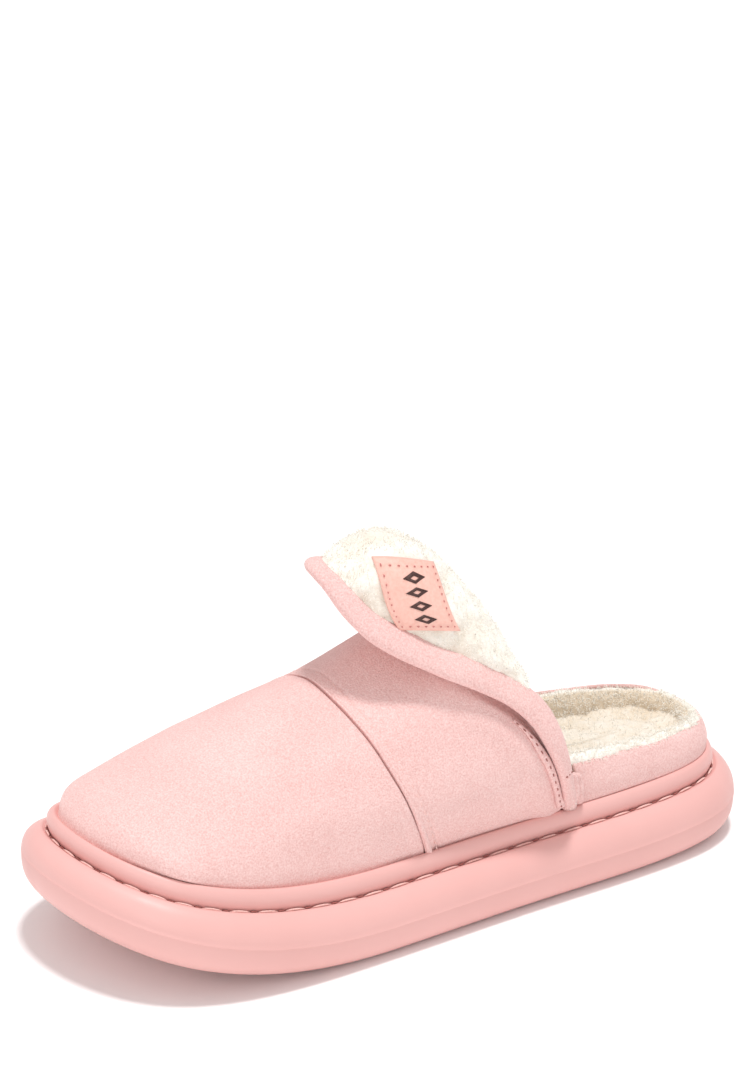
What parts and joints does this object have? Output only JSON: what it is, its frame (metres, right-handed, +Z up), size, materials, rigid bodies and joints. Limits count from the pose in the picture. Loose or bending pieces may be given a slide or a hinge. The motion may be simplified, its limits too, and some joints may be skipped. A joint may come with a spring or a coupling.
{
  "type": "fluffy house slipper",
  "caption": "Open-heel left slipper with a moulded foam sole, suede upper, sherpa pile lining and a cuff flap folded forward over the instep.",
  "frame": {"origin": "on the floor under the middle of the sole's outline box", "axes": "+Z up, toe towards -Y, heel towards +Y, lateral (outer) side of this left slipper towards +X"},
  "size_m": [0.1054, 0.2715, 0.1222],
  "materials": {
    "sole_foam": "matte moulded foam rubber",
    "foam_core": "open-cell foam",
    "board": "stiff non-woven board",
    "padding": "thin foam interlining",
    "suede": "brushed suede nap",
    "pile": "curly sherpa pile",
    "thread": "sewing thread",
    "label_leather": "smooth leather",
    "print": "dark print"
  },
  "bodies": {
    "slipper": {"outsole": "sole_foam", "platform": "foam_core", "welt_strip": "suede", "sole_stitching": "thread", "insole_board": "board", "footbed_foam": "foam_core", "footbed_cover": "pile", "toe_panel": "suede", "toe_padding": "padding", "toe_lining": "pile", "instep_panel": "suede", "instep_padding": "padding", "instep_lining": "pile", "heel_panel": "suede", "heel_counter": "board", "heel_lining": "pile", "seam_piping": "suede", "seam_stitching": "thread", "cuff_band_left": "suede", "cuff_band_right": "suede", "side_tab_left": "suede", "side_tab_right": "suede"},
    "flap": {"flap_shell": "suede", "flap_lining": "pile", "flap_binding": "suede", "flap_binding_stitching": "thread", "label_patch": "label_leather", "label_stitching": "thread", "label_motif": "print"}
  },
  "joints": [
    {"name": "flap_fold", "type": "hinge", "parent": "slipper", "child": "flap", "pos_m": [0, 0.017, 0.105], "axis": [-1, 0, 0], "range_deg": [-10, 105]}
  ]
}
